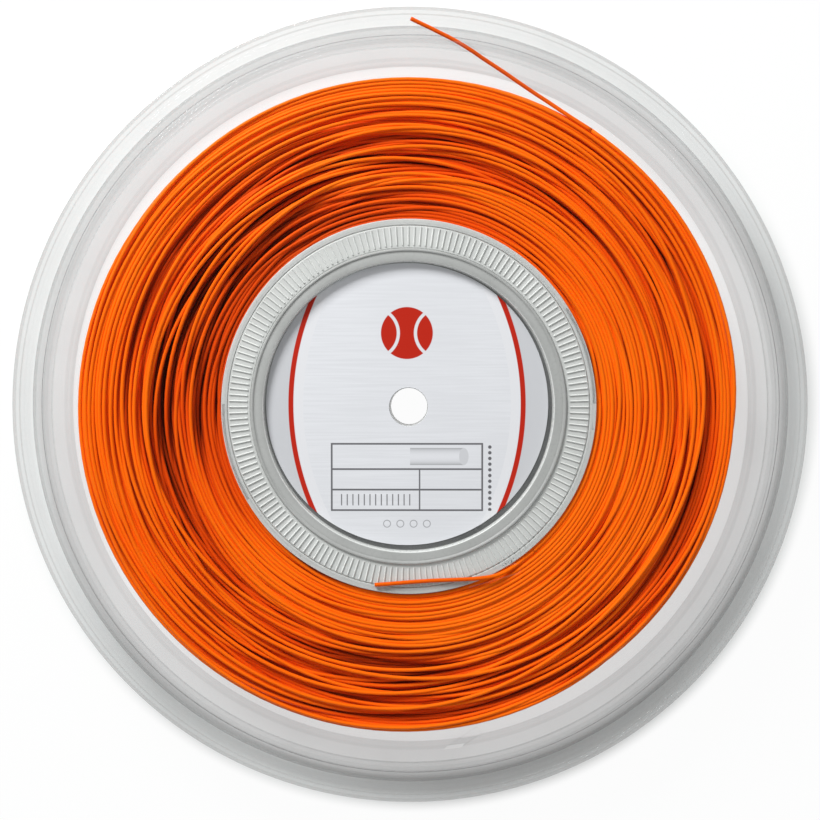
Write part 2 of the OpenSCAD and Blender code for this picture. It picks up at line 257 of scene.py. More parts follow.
def add_piece(name, points, faces, materials, slot, kinds=None, smooth=True):
    """A mesh object of points (n, 3) in metres and faces, a list of index arrays with one row per face. Kinds
    gives each face the number of its material."""
    mesh = bpy.data.meshes.new(name)
    mesh.vertices.add(len(points))
    mesh.vertices.foreach_set("co", np.asarray(points, np.float32).ravel())
    sizes = np.concatenate([np.full(len(f), f.shape[1]) for f in faces])
    mesh.loops.add(int(sizes.sum()))
    mesh.loops.foreach_set("vertex_index", np.concatenate([f.ravel() for f in faces]).astype(np.int32))
    mesh.polygons.add(len(sizes))
    mesh.polygons.foreach_set("loop_start", np.concatenate([[0], np.cumsum(sizes)[:-1]]).astype(np.int32))
    mesh.polygons.foreach_set("use_smooth", np.full(len(sizes), smooth))
    for material in materials:
        mesh.materials.append(material)
    if kinds is not None:
        mesh.polygons.foreach_set("material_index", np.asarray(kinds, np.int32))
    mesh.update(calc_edges=True)
    mesh.validate()
    piece = bpy.data.objects.new(name, mesh)
    bpy.context.scene.collection.objects.link(piece)
    if slot:
        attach(piece, "root")
    return piece


def grid_faces(rows, columns, close_rows=False, close_columns=False):
    """Quads between neighbouring points of a grid that is stored row by row, round the ends where closed."""
    i = np.arange(rows if close_rows else rows - 1)[:, None]
    j = np.arange(columns if close_columns else columns - 1)[None, :]
    i2, j2 = (i + 1) % rows, (j + 1) % columns
    corners = [i * columns + j, i * columns + j2, i2 * columns + j2, i2 * columns + j]
    return np.stack([np.broadcast_to(c, (i.size, j.size)) for c in corners], -1).reshape(-1, 4)


def rounded(corners, steps=4):
    """A closed outline (n, 2) from corners of (radius, height, rounding). Each corner is cut back by its
    rounding on both sides and bridged by a parabola, with one more point further out so that flat walls stay
    flat."""
    c = np.asarray(corners, float)
    at, rounding = c[:, :2], c[:, 2]
    ways, reach = [], rounding
    for side in (1, -1):
        way = np.roll(at, side, 0) - at
        length = np.linalg.norm(way, axis=1)
        ways.append(way / length[:, None])
        reach = np.minimum(reach, 0.3 * length)
    t = np.linspace(0, 1, steps + 1)[:, None, None]
    reach = reach[:, None]
    a, b = at + reach * ways[0], at + reach * ways[1]
    bridge = (1 - t) ** 2 * a + 2 * t * (1 - t) * at + t ** 2 * b
    points = np.concatenate([[a + 0.5 * reach * ways[0]], bridge, [b + 0.5 * reach * ways[1]]])
    return points.transpose(1, 0, 2).reshape(-1, 2)


def turned(outline, steps=360):
    """A closed outline of (radius, height) carried round the Z axis: x = r cos a, y = r sin a, z = h. The
    outline is run the way that turns its faces outwards."""
    r, h = np.asarray(outline, float).T
    if np.sum(r * np.roll(h, -1) - np.roll(r, -1) * h) > 0:
        r, h = r[::-1], h[::-1]
    a = np.arange(steps) * 2 * np.pi / steps
    points = np.stack([np.outer(np.cos(a), r), np.outer(np.sin(a), r), np.tile(h, (steps, 1))], -1)
    return points.reshape(-1, 3), [grid_faces(steps, len(r), True, True)]


def tube_walls(sides):
    """Quads between two rings of points that are stored one after the other."""
    ring = np.arange(sides)
    return np.stack([ring, np.roll(ring, -1), np.roll(ring, -1) + sides, ring + sides], -1)


def prism(outline, low, high):
    """An outline (n, 2), counted anticlockwise, raised from low to high."""
    n = len(outline)
    points = np.vstack([np.c_[outline, np.full(n, low)], np.c_[outline, np.full(n, high)]])
    ring = np.arange(n)
    return points, [tube_walls(n), ring[None, ::-1], ring[None] + n]


def radial_bars(bars, inner, outer, width, low, high, chamfer, offset=0.0):
    """Bars that stand round the axis like spokes. Each is its cross-section, a box whose upper edges are cut
    by the chamfer, run straight from the inner to the outer radius and turned to its own angle."""
    w, c = width / 2, chamfer
    section = np.array([(-w, low), (w, low), (w, high - c), (w - c, high), (c - w, high), (-w, high - c)])
    bar = np.array([(x, y, z) for x in (inner, outer) for y, z in section])
    a = (np.arange(bars) + offset)[:, None] * 2 * np.pi / bars
    points = np.stack([bar[:, 0] * np.cos(a) - bar[:, 1] * np.sin(a),
                       bar[:, 0] * np.sin(a) + bar[:, 1] * np.cos(a), np.tile(bar[:, 2], (bars, 1))], -1)
    ring = np.arange(len(section))
    first = np.arange(bars)[:, None, None] * len(bar)
    ends = np.stack([ring[::-1], ring + len(section)])
    walls = tube_walls(len(section))
    return points.reshape(-1, 3), [(first + walls).reshape(-1, 4), (first + ends).reshape(-1, len(section))]


def joined(*parts):
    """Several (points, faces) as one."""
    points, faces, total = [], [], 0
    for p, f in parts:
        points.append(p)
        faces += [g + total for g in f]
        total += len(p)
    return np.vstack(points), faces


def placed(points, at, degrees):
    """Points turned about Z by an angle, then moved to a place in the plane."""
    a = math.radians(degrees)
    x, y, z = points.T
    cos, sin = math.cos(a), math.sin(a)
    return np.stack([x * cos - y * sin + at[0], x * sin + y * cos + at[1], z], -1)


def at_end(points, rear):
    """Lifts points, drawn from the middle plane outwards, to the front. The rear turns them over about X."""
    points = points * (1, -1, -1) if rear else points
    return (points + (0, 0, MIDDLE_MM)) * MM


def swept_tube(path, radius, sides):
    """A closed round tube along a path (n, 3). Ring i is p_i + radius (across cos t + up sin t): across is level
    and square to the heading, up is square to both, and t runs once round."""
    heading = np.gradient(path, axis=0)
    heading /= np.linalg.norm(heading, axis=1, keepdims=True)
    across = np.cross([0, 0, 1], heading)
    across /= np.linalg.norm(across, axis=1, keepdims=True)
    up = np.cross(heading, across)
    t = (np.arange(sides) + 0.5) * 2 * np.pi / sides
    ring = radius * (across[:, None] * np.cos(t)[:, None] + up[:, None] * np.sin(t)[:, None])
    points = (path[:, None] + ring).reshape(-1, 3)
    ends = [np.arange(sides)[None, ::-1], (len(path) - 1) * sides + np.arange(sides)[None, :]]
    return points, [grid_faces(len(path), sides, False, True)] + ends


def path_length(path):
    return float(np.linalg.norm(np.diff(path, axis=0), axis=1).sum())


def smooth_route(points, per_span=4):
    """A Catmull-Rom curve through the points: each span is a cubic whose ends lean along the neighbours."""
    p = np.asarray(points, float)
    p = np.vstack([2 * p[0] - p[1], p, 2 * p[-1] - p[-2]])
    a, b, c, d = (p[i:len(p) - 3 + i, None] for i in range(4))
    t = (np.arange(per_span) / per_span)[None, :, None]
    curve = b + 0.5 * t * (c - a + t * (2 * a - 5 * b + 4 * c - d + t * (3 * (b - c) + d - a)))
    return np.vstack([curve.reshape(-1, 3), p[-2]])


def crease(piece, degrees=34):
    """Keeps edges sharper than the angle as edges, and shades the rest smooth."""
    piece.data.shade_smooth()
    piece.data.set_sharp_from_angle(angle=math.radians(degrees))


def carve(piece, cutters):
    """Takes closed cutters, given as (points, faces) in metres, out of a piece."""
    helpers = []
    for n, (points, faces) in enumerate(cutters):
        helper = add_piece(f"cutter_{n}", points, faces, piece.data.materials[:1], None, smooth=False)
        cut = piece.modifiers.new(f"Cut {n}", "BOOLEAN")
        cut.object, cut.operation, cut.solver = helper, "DIFFERENCE", "EXACT"
        helpers.append(helper)
    bpy.context.view_layer.update()
    result = bpy.data.meshes.new_from_object(piece.evaluated_get(bpy.context.evaluated_depsgraph_get()))
    piece.modifiers.clear()
    old, piece.data = piece.data, result
    bpy.data.meshes.remove(old)
    for helper in helpers:
        mesh = helper.data
        bpy.data.objects.remove(helper)
        bpy.data.meshes.remove(mesh)


# ---- the winding

def long_noise(random, places, reach):
    """White noise blurred by a Gaussian of reach stations, by way of its spectrum, scaled to unit spread."""
    frequency = np.fft.rfftfreq(places)
    blur = np.exp(-2 * (np.pi * reach * frequency) ** 2)
    noise = np.fft.irfft(np.fft.rfft(random.standard_normal(places)) * blur, places)
    return noise / noise.std()


def close_pairs(stations, reach):
    """Pairs of turns whose middles lie within reach of each other, at every station, as flat indices."""
    places, turns, _ = stations.shape
    first, second = [], []
    for s in range(places):
        gap = stations[s, :, None] - stations[s, None, :]
        i, j = np.nonzero(np.triu((gap ** 2).sum(-1) < reach * reach, 1))
        first.append(s * turns + i)
        second.append(s * turns + j)
    return np.concatenate(first), np.concatenate(second)


def band_share(angle, loose_deg):
    """Where the loose band lies between barrel and outside: 0.62 - 0.21 cos(angle from the loose side)."""
    return 0.62 - 0.21 * np.cos(angle - math.radians(loose_deg))


def pick_hollows(w, random, least):
    """The hollows in one face of the winding: middles (angle, radius), half lengths in radians, half widths
    and depths in millimetres, and lean outwards per radian. They are deepest on two sides."""
    wide = np.arange(w.hollows + w.slits) < w.hollows
    n = len(wide)
    at = random.uniform(0, 2 * np.pi, n)
    stray = random.uniform(-1, 1, n) * np.where(wide, WIDE_STRAY, SLIT_STRAY)
    middle = least + (w.outer_mm - least) * np.clip(band_share(at, w.loose_deg) + stray, 0.06, 0.94)
    length = np.radians(random.uniform(*HOLLOW_LENGTH_DEG, n) * np.where(wide, WIDE_LENGTH, 1))
    width = random.uniform(*HOLLOW_WIDTH_MM, n) * np.where(wide, WIDE_WIDTH, 1)
    sides = (w.loose_deg, w.loose_deg + SECOND_SIDE_DEG)
    deepest = [np.exp(4 * (np.cos(at - math.radians(side)) - 1)) for side in sides]
    deep = w.sunk_mm * random.uniform(*HOLLOW_DEPTH, n) * (0.55 + 0.45 * np.maximum(*deepest))
    return at, middle, length, width, deep, random.normal(0, HOLLOW_LEAN_MM, n)


def in_hollows(places, angle, radius):
    """For each place and hollow: its half width there, which follows 1 - (turn / length)^2 along the string,
    that share itself, and the distance from its middle line counted in half widths."""
    at, middle, length, width, _, lean = places
    turn = (angle[..., None] - at + np.pi) % (2 * np.pi) - np.pi
    along = np.clip(1 - (turn / length) ** 2, 0, 1)
    reach = width * along
    return reach, along, (radius[..., None] - middle - lean * turn) / (reach + 1e-6)


def sunk_depths(w, places, stations, least):
    """How far one face of the winding sinks at each station and radius, in millimetres: the deepest of its
    hollows, each with the section 1 - (distance / half width)^2."""
    step = 1 / SUNK_PLACES
    theta = math.radians(START_DEG) + np.arange(stations) * 2 * np.pi / stations
    radius = least + step * np.arange(int((w.outer_mm + 4 - least) / step))
    _, along, across = in_hollows(places, *np.broadcast_arrays(theta[:, None], radius))
    return (places[4] * along * np.clip(1 - across ** 2, 0, 1)).max(-1)


def parted(places, angle, radius):
    """How far turns draw aside from the hollows, in mm: reach tanh(1.5 d) exp(-|d| / 1.5), summed."""
    reach, _, across = in_hollows(places, angle, radius)
    return np.clip((reach * np.tanh(1.5 * across) * np.exp(-np.abs(across) / 1.5)).sum(-1), -2.6, 2.6)


def even_out(path, amount):
    """Moves each point of a path towards the middle of its neighbours, in place."""
    path[1:-1] += amount * (0.5 * (path[2:] + path[:-2]) - path[1:-1])


class Wind:
    """The string's path in the winding: one row of radius and height from the middle plane, in millimetres,
    for each station of each turn. It is laid evenly with long strays, then settled."""

    def __init__(self, w, stations=120):
        self.w, self.stations = w, stations
        self.places = w.turns * stations
        self.turn = np.arange(self.places) / stations
        self.station = np.arange(self.places) % stations
        self.angle = math.radians(START_DEG) + 2 * np.pi * self.turn
        self.half = INNER_FACE_MM - MIDDLE_MM - w.side_gap_mm - w.string_mm / 2
        self.least = BARREL_R_MM + w.string_mm / 2 + 0.1
        lobes = sum(c * np.cos(n * self.angle) + s * np.sin(n * self.angle) for n, c, s in LOBES_MM)
        self.most = w.outer_mm + lobes
        self.last = (w.turns - 1) * stations + int((TAIL_DEG - START_DEG) / 360 * stations)
        self.random = np.random.default_rng(w.seed)
        path = self.part(self.lay())
        self.path = self.settle(path)[:self.last + 1]

    def lay(self):
        """The height is a triangle wave between the flanges, mixed with its own sine so that the string
        dwells at both ends, while the radius grows evenly. Both stray by long noise, most in the loose band.
        Press is 1 for turns that lie down in the hollows and 0 for those that bridge them."""
        w, angle = self.w, self.angle
        layer = self.turn / self.turn[self.last] * w.layers
        grown = np.minimum(layer / w.layers, 1)
        side = angle - math.radians(w.loose_deg)
        loose = np.exp(-((grown - band_share(angle, w.loose_deg)) / 0.2) ** 2)
        loose = loose * (1 + 0.2 * np.cos(2 * side + 0.5))
        dwell = w.dwell * (1 - 0.8 * np.minimum(loose, 1))
        wave = 2 * np.abs((layer + 1) % 2 - 1) - 1
        wave = (1 - dwell) * wave + dwell * np.sin(wave * np.pi / 2)
        reach = w.reach_deg / 360 * self.stations
        noise = [long_noise(self.random, self.places, reach * k) for k in (1, 2.5, 1, 3, 1.5, 0.8)]
        self.press = np.clip((noise[4] + 0.55) / 0.5, 0, 1)
        r = self.least + (self.most - self.least) * grown
        r += w.wander_mm * (0.14 + 1.1 * loose) * (noise[0] + 0.6 * noise[1])
        r += w.wander_mm * (1 - self.press) * np.minimum(loose, 1) * noise[5]
        z = wave * self.half + w.wander_mm * (0.10 + 1.3 * loose) * (noise[2] + 0.5 * noise[3])
        facing = np.maximum(0.8 * np.cos(side + 0.25) + 0.2, 0)
        self.dip = w.dip_mm * np.exp(-(grown / 0.24) ** 2) * facing ** 0.7
        return r, z

    def part(self, path):
        """Draws the turns near each face aside from its hollows."""
        r, z = path
        faces = [pick_hollows(self.w, self.random, self.least) for _ in range(2)]
        self.sunk = [sunk_depths(self.w, places, self.stations, self.least) for places in faces]
        for places, way in zip(faces, (1, -1)):
            r += parted(places, self.angle, r) * np.clip(way * z / self.half * 3 - 0.9, 0, 1)
        return np.stack([r, z], -1)

    def lead_ends(self, path):
        """Leads both ends of the path to the places where the free ends begin."""
        lead = self.stations // 5
        ease = (1 - np.arange(lead) / lead)[:, None] ** 2
        path[:lead] += ease * (np.array([FIRST_TURN_MM, self.half]) - path[:lead])
        tail = slice(self.last - lead + 1, self.last + 1)
        path[tail] += ease[::-1] * (np.array([LAST_TURN_MM, self.half]) - path[tail])

    def hold(self, path):
        """Keeps the path on the barrel, between the flanges and, softly, below the hollows."""
        path[:, 0] = np.clip(path[:, 0], self.least, self.most)
        place = ((path[:, 0] - self.least) * SUNK_PLACES).astype(int)
        place = np.minimum(place, self.sunk[0].shape[1] - 1)
        front = self.half - self.dip - self.press * self.sunk[0][self.station, place]
        back = self.press * self.sunk[1][self.station, place] - self.half
        path[:, 1] += 0.5 * (np.clip(path[:, 1], back, front) - path[:, 1])
        path[:, 1] = np.clip(path[:, 1], -self.half, self.half)
        self.lead_ends(path)

    def settle(self, path):
        """At each station, turns that lie closer than nine tenths of a diameter, as pull flattens them, push
        each other apart, and each push is spread along the string."""
        turns, stations, string = self.w.turns, self.stations, self.w.string_mm
        rounds = 20
        for n in range(rounds):
            at = path.reshape(turns, stations, 2).transpose(1, 0, 2)
            one, two = close_pairs(at, 1.6 * string)
            flat = at.reshape(-1, 2)
            for _ in range(8):
                gap = flat[one] - flat[two]
                far = np.sqrt((gap ** 2).sum(-1)) + 1e-9
                push = gap * (np.maximum(0.9 * string - far, 0) * 0.3 / far)[:, None]
                moved = [np.bincount(one, p, len(flat)) - np.bincount(two, p, len(flat)) for p in push.T]
                flat = flat + np.stack(moved, -1)
                path = flat.reshape(stations, turns, 2).transpose(1, 0, 2).reshape(-1, 2)
                even_out(path, 0.5 if n < rounds - 3 else 0.2)
                self.hold(path)
                flat = path.reshape(turns, stations, 2).transpose(1, 0, 2).reshape(-1, 2)
        for _ in range(10):
            even_out(path, 0.5)
        self.lead_ends(path)
        return path

    def points(self):
        """The path in space, from the inner end's route to the outer end's."""
        r, z = self.path.T
        a = self.angle[:self.last + 1]
        middle = np.stack([r * np.cos(a), r * np.sin(a), MIDDLE_MM + z], -1)
        return np.vstack([START_ROUTE_MM[0], middle, TAIL_ROUTE_MM[0]])


# ---- shader expressions

class Value:
    """A shader socket that stands in Python expressions. Each operation adds one Math node."""

    def __init__(self, shader, socket):
        self.shader, self.socket = shader, socket

    def math(self, operation, *others):
        return self.shader.add("ShaderNodeMath", {"operation": operation}, dict(enumerate((self, *others))))

    def __add__(self, other):
        return self.math("ADD", other)

    def __sub__(self, other):
        return self.math("SUBTRACT", other)

    def __rsub__(self, other):
        return (self * -1) + other

    def __mul__(self, other):
        return self.math("MULTIPLY", other)

    def __truediv__(self, other):
        return self.math("DIVIDE", other)

    def __pow__(self, other):
        return self.math("POWER", other)

    def __abs__(self):
        return self.math("ABSOLUTE")

    def __gt__(self, other):
        return self.math("GREATER_THAN", other)

    def __lt__(self, other):
        return self.math("LESS_THAN", other)

    __radd__, __rmul__ = __add__, __mul__

    def root(self):
        return self.math("SQRT")

    def least(self, other):
        return self.math("MINIMUM", other)

    def most(self, other):
        return self.math("MAXIMUM", other)

    def ramp(self, low, high, start=0.0, end=1.0):
        """Start below low, end above high, and an S-shaped slope between them."""
        settings = {"interpolation_type": "SMOOTHSTEP"}
        values = {0: self, 1: low, 2: high, 3: start, 4: end}
        return self.shader.add("ShaderNodeMapRange", settings, values)


class Shader:
    """A material's node tree. add() makes every node: its type, its settings, then its sockets' values."""

    def __init__(self, name, world=None):
        self.owner = world or bpy.data.materials.new(name)
        self.owner.use_nodes = True
        self.tree = self.owner.node_tree
        self.tree.nodes.clear()

    def add(self, kind, settings=None, values=None, out=0):
        node = self.tree.nodes.new(kind)
        for key, value in (settings or {}).items():
            setattr(node, key, value)
        for key, value in (values or {}).items():
            socket = node.inputs[key]
            if isinstance(value, Value):
                self.tree.links.new(value.socket, socket)
            elif hasattr(value, "__len__") and len(value) == 3 and socket.type == "RGBA":
                socket.default_value = (*value, 1)
            else:
                socket.default_value = value
        return Value(self, node.outputs[out])

    def mix(self, factor, a, b):
        """Colour a where factor is 0, b where it is 1."""
        return self.add("ShaderNodeMix", {"data_type": "RGBA"}, {0: factor, 6: a, 7: b}, out=2)

    def place(self):
        """Object coordinates as three values, in metres, and as one vector."""
        where = self.add("ShaderNodeTexCoord", out=3)
        return [self.add("ShaderNodeSeparateXYZ", None, {0: where}, out=i) for i in range(3)], where

    def noise(self, where, scale, detail=2.0):
        return self.add("ShaderNodeTexNoise", None, {"Vector": where, "Scale": scale, "Detail": detail})

    def bump(self, height, strength, distance):
        values = {"Height": height, "Strength": strength, "Distance": distance}
        return self.add("ShaderNodeBump", None, values)

    def facing(self, blend):
        """Near 0 where the surface faces the eye and near 1 where it is seen edge on."""
        return self.add("ShaderNodeLayerWeight", None, {"Blend": blend}, out=1)

    def surface(self, values):
        """The closing Principled node."""
        end = self.add("ShaderNodeBsdfPrincipled", None, values)
        self.add_output(end)
        return self.owner

    def add_output(self, end, kind="ShaderNodeOutputMaterial"):
        node = self.tree.nodes.new(kind)
        self.tree.links.new(end.socket, node.inputs["Surface"])


def distance(x, y):
    """Distance from the origin of a plane."""
    return (x * x + y * y).root()


def tinted(colour, *factors):
    """A colour times one factor, or times one for each of its channels."""
    factors = factors * 3 if len(factors) == 1 else factors
    return tuple(value * factor for value, factor in zip(colour, factors))


# Smooth extruded monofilament, whose gloss takes its colour from the string
STRING_GLOSS = {"IOR": 1.45, "Specular IOR Level": 0.4, "Specular Tint": (1.0, 0.30, 0.04, 1.0)}


def string_material(w):
    """The wound string, with painted shade: the deeper a turn lies in the winding, the darker and redder it is
    painted.
    """
    s = Shader("string_orange")
    _, where = s.place()
    lit = s.add("ShaderNodeAttribute", {"attribute_name": "lit"}, out=2)
    cloudy = s.noise(where, 35)
    bright = s.mix(cloudy.ramp(0.35, 0.65), tuple(w.colour), tinted(w.colour, 1, 1.12, 1.3))
    # Painted shade: three steps from the bright colour down to the painted shade colour as 'lit' falls
    colour = s.mix(lit.ramp(0.60, 0.92), tinted(w.colour, 0.80, 0.50, 0.8), bright)
    colour = s.mix(lit.ramp(0.25, 0.68), tinted(w.colour, 0.42, 0.20, 0.5), colour)
    colour = s.mix(lit.ramp(0.0, 0.35), tuple(w.painted_shade_colour), colour)
    fine = s.noise(where, 900, 1)
    return s.surface({"Base Color": colour, "Roughness": fine.ramp(0.3, 0.7, 0.38, 0.43), **STRING_GLOSS})


def end_material(w):
    """The free ends of the same string, with the darker skin that handling leaves outside the winding."""
    s = Shader("string_end")
    (x, y, _), where = s.place()
    out = distance(x, y)
    fine = s.noise(where, 400, 1)
    worn = out.ramp(*WORN_OUTSIDE).most(out.ramp(*WORN_INSIDE, 0.7, 0.0))
    worn = worn * fine.ramp(0.3, 0.7, 0.8, 1.0)
    colour = s.mix(worn, tuple(w.colour), tinted(w.colour, 0.70, 0.55, 1.5))
    return s.surface({"Base Color": colour, "Roughness": fine.ramp(0.3, 0.7, 0.38, 0.5), **STRING_GLOSS})


def disc_material(c):
    """Clear flat disc: next to nothing over the winding, a trace more towards the shoulder and edge on."""
    s = Shader("clear_disc")
    (x, y, _), where = s.place()
    out = distance(x, y).ramp(*SHOULDER_SLOPE)
    haze = s.noise(where, 40, 3)
    cover = c.disc_cover + out * (c.shoulder_cover - c.disc_cover) + s.facing(0.3) ** 3 * 0.4
    return s.surface({
        "Base Color": s.mix(s.facing(0.3), tuple(c.clear), tuple(c.edge)),
        "Roughness": haze.ramp(0.3, 0.8, 0.05, 0.10), "IOR": 1.3, "Specular IOR Level": 0.10,
        "Alpha": cover.least(1.0), "Normal": s.bump(s.noise(where, 12), 0.2, 0.0006),
    })


def rim_material(c):
    """Clear shoulder, rim band and bead: painted shade greys them with far more cover than the disc, though only
    the bead is thicker; the curved edge shines.
    """
    s = Shader("clear_rim")
    (x, y, _), where = s.place()
    haze = s.noise(where, 30, 3)
    bead = distance(x, y).ramp(*BEAD_SLOPE)
    # Painted shade: rim and bead cover, over the dark clear tint, grey the band
    cover = c.rim_cover + bead * c.bead_cover + haze.ramp(0.4, 0.75, 0.0, 0.02) + s.facing(0.4) ** 2 * 0.55
    return s.surface({
        "Base Color": s.mix(s.facing(0.3), tuple(c.clear), tinted(c.edge, 0.6)),
        "Roughness": haze.ramp(0.3, 0.8, 0.06, 0.10), "IOR": 1.45, "Specular IOR Level": 0.5,
        "Alpha": cover.least(1.0), "Normal": s.bump(s.noise(where, 16), 0.25, 0.0006),
    })


def frosted_material(name, colour, cover, spread=0.06):
    """Frosted hub plastic: a rougher skin with fine grain, cloudy through its wall, and denser edge on."""
    s = Shader(name)
    _, where = s.place()
    grain, cloud = s.noise(where, 900), s.noise(where, 55, 3)
    pale = tuple(min(v + spread, 1) for v in colour)
    dense = s.facing(0.4) ** 2 * (1 - cover) + cover
    return s.surface({
        "Base Color": s.mix(cloud.ramp(0.3, 0.7), tuple(colour), pale),
        "Roughness": grain.ramp(0.3, 0.7, 0.24, 0.36), "IOR": 1.45, "Specular IOR Level": 0.4,
        "Alpha": dense.least(1.0), "Normal": s.bump(grain, 0.1, 0.0002),
    })


# ---- the label's print

# Softness of a printed edge and of a sharper one. All lengths of the print are metres
INK, FINE = 0.00012, 0.0001
# The bowed side bands: how far beyond the axis their arcs are centred, and the radii of their edges
BOW_CENTRE, BAND_INNER, BAND_OUTER = 0.0462, 0.0790, 0.0836
STRIPE, STRIPE_HALF = 0.0829, 0.00080
# The ball: height, radius, and the centres, radius and half width of its two seams
BALL_Y, BALL_R, SEAM_X, SEAM_R, SEAM_HALF = 0.0225, 0.0082, 0.0105, 0.0078, 0.0005
# The ruled panel: heights of its rules, their half length and half width, and its uprights
RULES_Y = (-0.0125, -0.0205, -0.0270, -0.0335)
RULE_END, UPRIGHT_X, RULE_HALF = 0.0240, 0.0238, 0.00028
SPLIT_X, SPLIT_HALF = 0.004, 0.00022
# Rows of small marks: how far apart they stand, and where
MARK_PITCH, HOLES_X, TICKS_X, TICKS_Y, TICKS_HALF = 0.0018, 0.0262, -0.0104, -0.0302, 0.0115
RING_PITCH, RINGS_Y, RINGS_END, RING_SIZE, RING_HALF = 0.0042, -0.0378, 0.0084, 0.0011, 0.00012
# The drawn strand: middle and half length, height, radius, and the cut end's place and squeeze
STRAND_X, STRAND_HALF, STRAND_Y, STRAND_R, CUT_X, CUT_SQUEEZE = 0.0095, 0.0085, -0.0165, 0.0027, 0.018, 0.55


def disc(x, y, radius):
    """1 inside a circle round the origin, 0 outside."""
    return distance(x, y).ramp(radius - INK, radius + INK, 1.0, 0.0)


def band(value, middle, half_width):
    """1 within half a width of the middle, 0 beyond."""
    return abs(value - middle).ramp(half_width - INK, half_width + INK, 1.0, 0.0)


def nearest(value, pitch):
    """Distance to the nearest of evenly spaced places."""
    return abs((value / pitch).math("FRACT") - 0.5) * pitch


def print_film(s, c, x, y, streak, cloud):
    """Brushed silver between two white bands with a red stripe each."""
    bow = distance(abs(x) + BOW_CENTRE, y)
    silver = s.mix(streak.ramp(0.3, 0.7), tinted(c.silver, 0.97), tinted(c.silver, 1.04))
    silver = s.mix(cloud.ramp(0.3, 0.7, 0.0, 0.5), silver, tinted(c.silver, 0.94))
    colour = s.mix(bow.ramp(BAND_INNER - INK, BAND_INNER + INK), silver, tuple(c.white))
    colour = s.mix(bow.ramp(BAND_OUTER - INK, BAND_OUTER + INK), colour, tinted(c.silver, 0.78))
    return s.mix(band(bow, STRIPE, STRIPE_HALF), colour, tuple(c.red))


def print_ball(s, c, colour, x, y):
    """A plain red ball with two seams."""
    y = y - BALL_Y
    seams = [band(distance(x + way * SEAM_X, y), SEAM_R, SEAM_HALF) for way in (1, -1)]
    return s.mix(disc(x, y, BALL_R) * (1 - seams[0].most(seams[1])), colour, tuple(c.red))


def print_panel(s, c, colour, x, y):
    """A ruled panel with a split lower half, a scale of ticks, a row of holes and four small rings below."""
    rules = band(y, RULES_Y[0], RULE_HALF)
    for row in RULES_Y[1:]:
        rules = rules.most(band(y, row, RULE_HALF))
    rules = rules * abs(x).ramp(RULE_END, RULE_END + FINE, 1.0, 0.0)
    split = band(x, SPLIT_X, SPLIT_HALF) * (y < RULES_Y[1])
    holes = distance(x - HOLES_X, nearest(y, MARK_PITCH)).ramp(0.00045, 0.00065, 1.0, 0.0)
    uprights = band(abs(x), UPRIGHT_X, RULE_HALF).most(split).most(holes)
    uprights = uprights * (y < RULES_Y[0] + 2 * FINE) * (y > RULES_Y[-1] - 2 * FINE)
    ticks = band(nearest(x, MARK_PITCH), 0, 0.00016) * band(y, TICKS_Y, MARK_PITCH)
    ticks = ticks * band(x, TICKS_X, TICKS_HALF)
    rings = band(distance(nearest(x, RING_PITCH), y - RINGS_Y), RING_SIZE, RING_HALF) * (abs(x) < RINGS_END)
    return s.mix(rules.most(uprights).most(ticks).most(rings * 0.7), colour, tuple(c.grey))


def print_strand(s, c, colour, x, y):
    """A grey strand with its cut end, in the panel's upper cell."""
    y = y - STRAND_Y
    tone = (1 - (y / STRAND_R) ** 2).most(0).root()
    strand = band(y, 0, STRAND_R) * band(x, STRAND_X, STRAND_HALF)
    colour = s.mix(strand, colour, s.mix(tone, tinted(c.silver, 0.35), tuple(c.silver)))
    cut = distance((x - CUT_X) / CUT_SQUEEZE, y)
    return s.mix(cut.ramp(STRAND_R - FINE, STRAND_R + FINE, 1.0, 0.0), colour, tinted(c.silver, 0.82))


def label_material(c):
    """Printed silver film: a brushed middle between bowed bands, a ball over the bore, a panel under it."""
    s = Shader("label_print")
    (x, y, _), where = s.place()
    x, y = x - c.shift_mm[0] * MM, y - c.shift_mm[1] * MM
    streak = s.noise(s.add("ShaderNodeCombineXYZ", None, {0: x * 40, 1: y * 1400}), 1.0, 3)
    colour = print_film(s, c, x, y, streak, s.noise(where, 30))
    for mark in (print_ball, print_panel, print_strand):
        colour = mark(s, c, colour, x, y)
    return s.surface({
        "Base Color": colour, "Roughness": streak.ramp(0.3, 0.7, 0.34, 0.46),
        "Specular IOR Level": 0.15, "Normal": s.bump(streak, 0.05, 0.00005),
    })


# ---- operators

class REEL_OT_flanges(bpy.types.Operator):
    """Clear flanges with their lock slots and hub notches"""
    bl_idname = "reel.flanges"
    bl_label = "Flanges"

    def execute(self, context):
        c = context.scene.reel_plastic
        materials = [disc_material(c), rim_material(c)]
        points, faces = turned(rounded(FLANGE_OUTLINE))
        kinds = np.hypot(*points[faces[0], :2].mean(1).T) > RIM_FROM_MM
        slot, slot_faces = prism(np.array([(-10, -1.3), (10, -1.3), (10, 1.3), (-10, 1.3)]), 10.05, 11.65)
        a = np.linspace(np.pi / 2, 3 * np.pi / 2, 13)
        mouth = np.vstack([1.6 * np.c_[np.cos(a), np.sin(a)], [(15.5, -1.6), (15.5, 1.6)]])
        notch, notch_faces = prism(mouth, 10.5, 13.5)
        slot, notch = placed(slot, *LOCK_SLOT), placed(notch, *HUB_NOTCH)
        for name, rear in (("front_flange", False), ("rear_flange", True)):
            at = at_end(points, rear)
            piece = add_piece(name + "_clear", at, faces, materials, "clear_plastic", kinds)
            carve(piece, [(at_end(slot, rear), slot_faces), (at_end(notch, rear), notch_faces)])
            crease(piece)
            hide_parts(name)
        return {"FINISHED"}


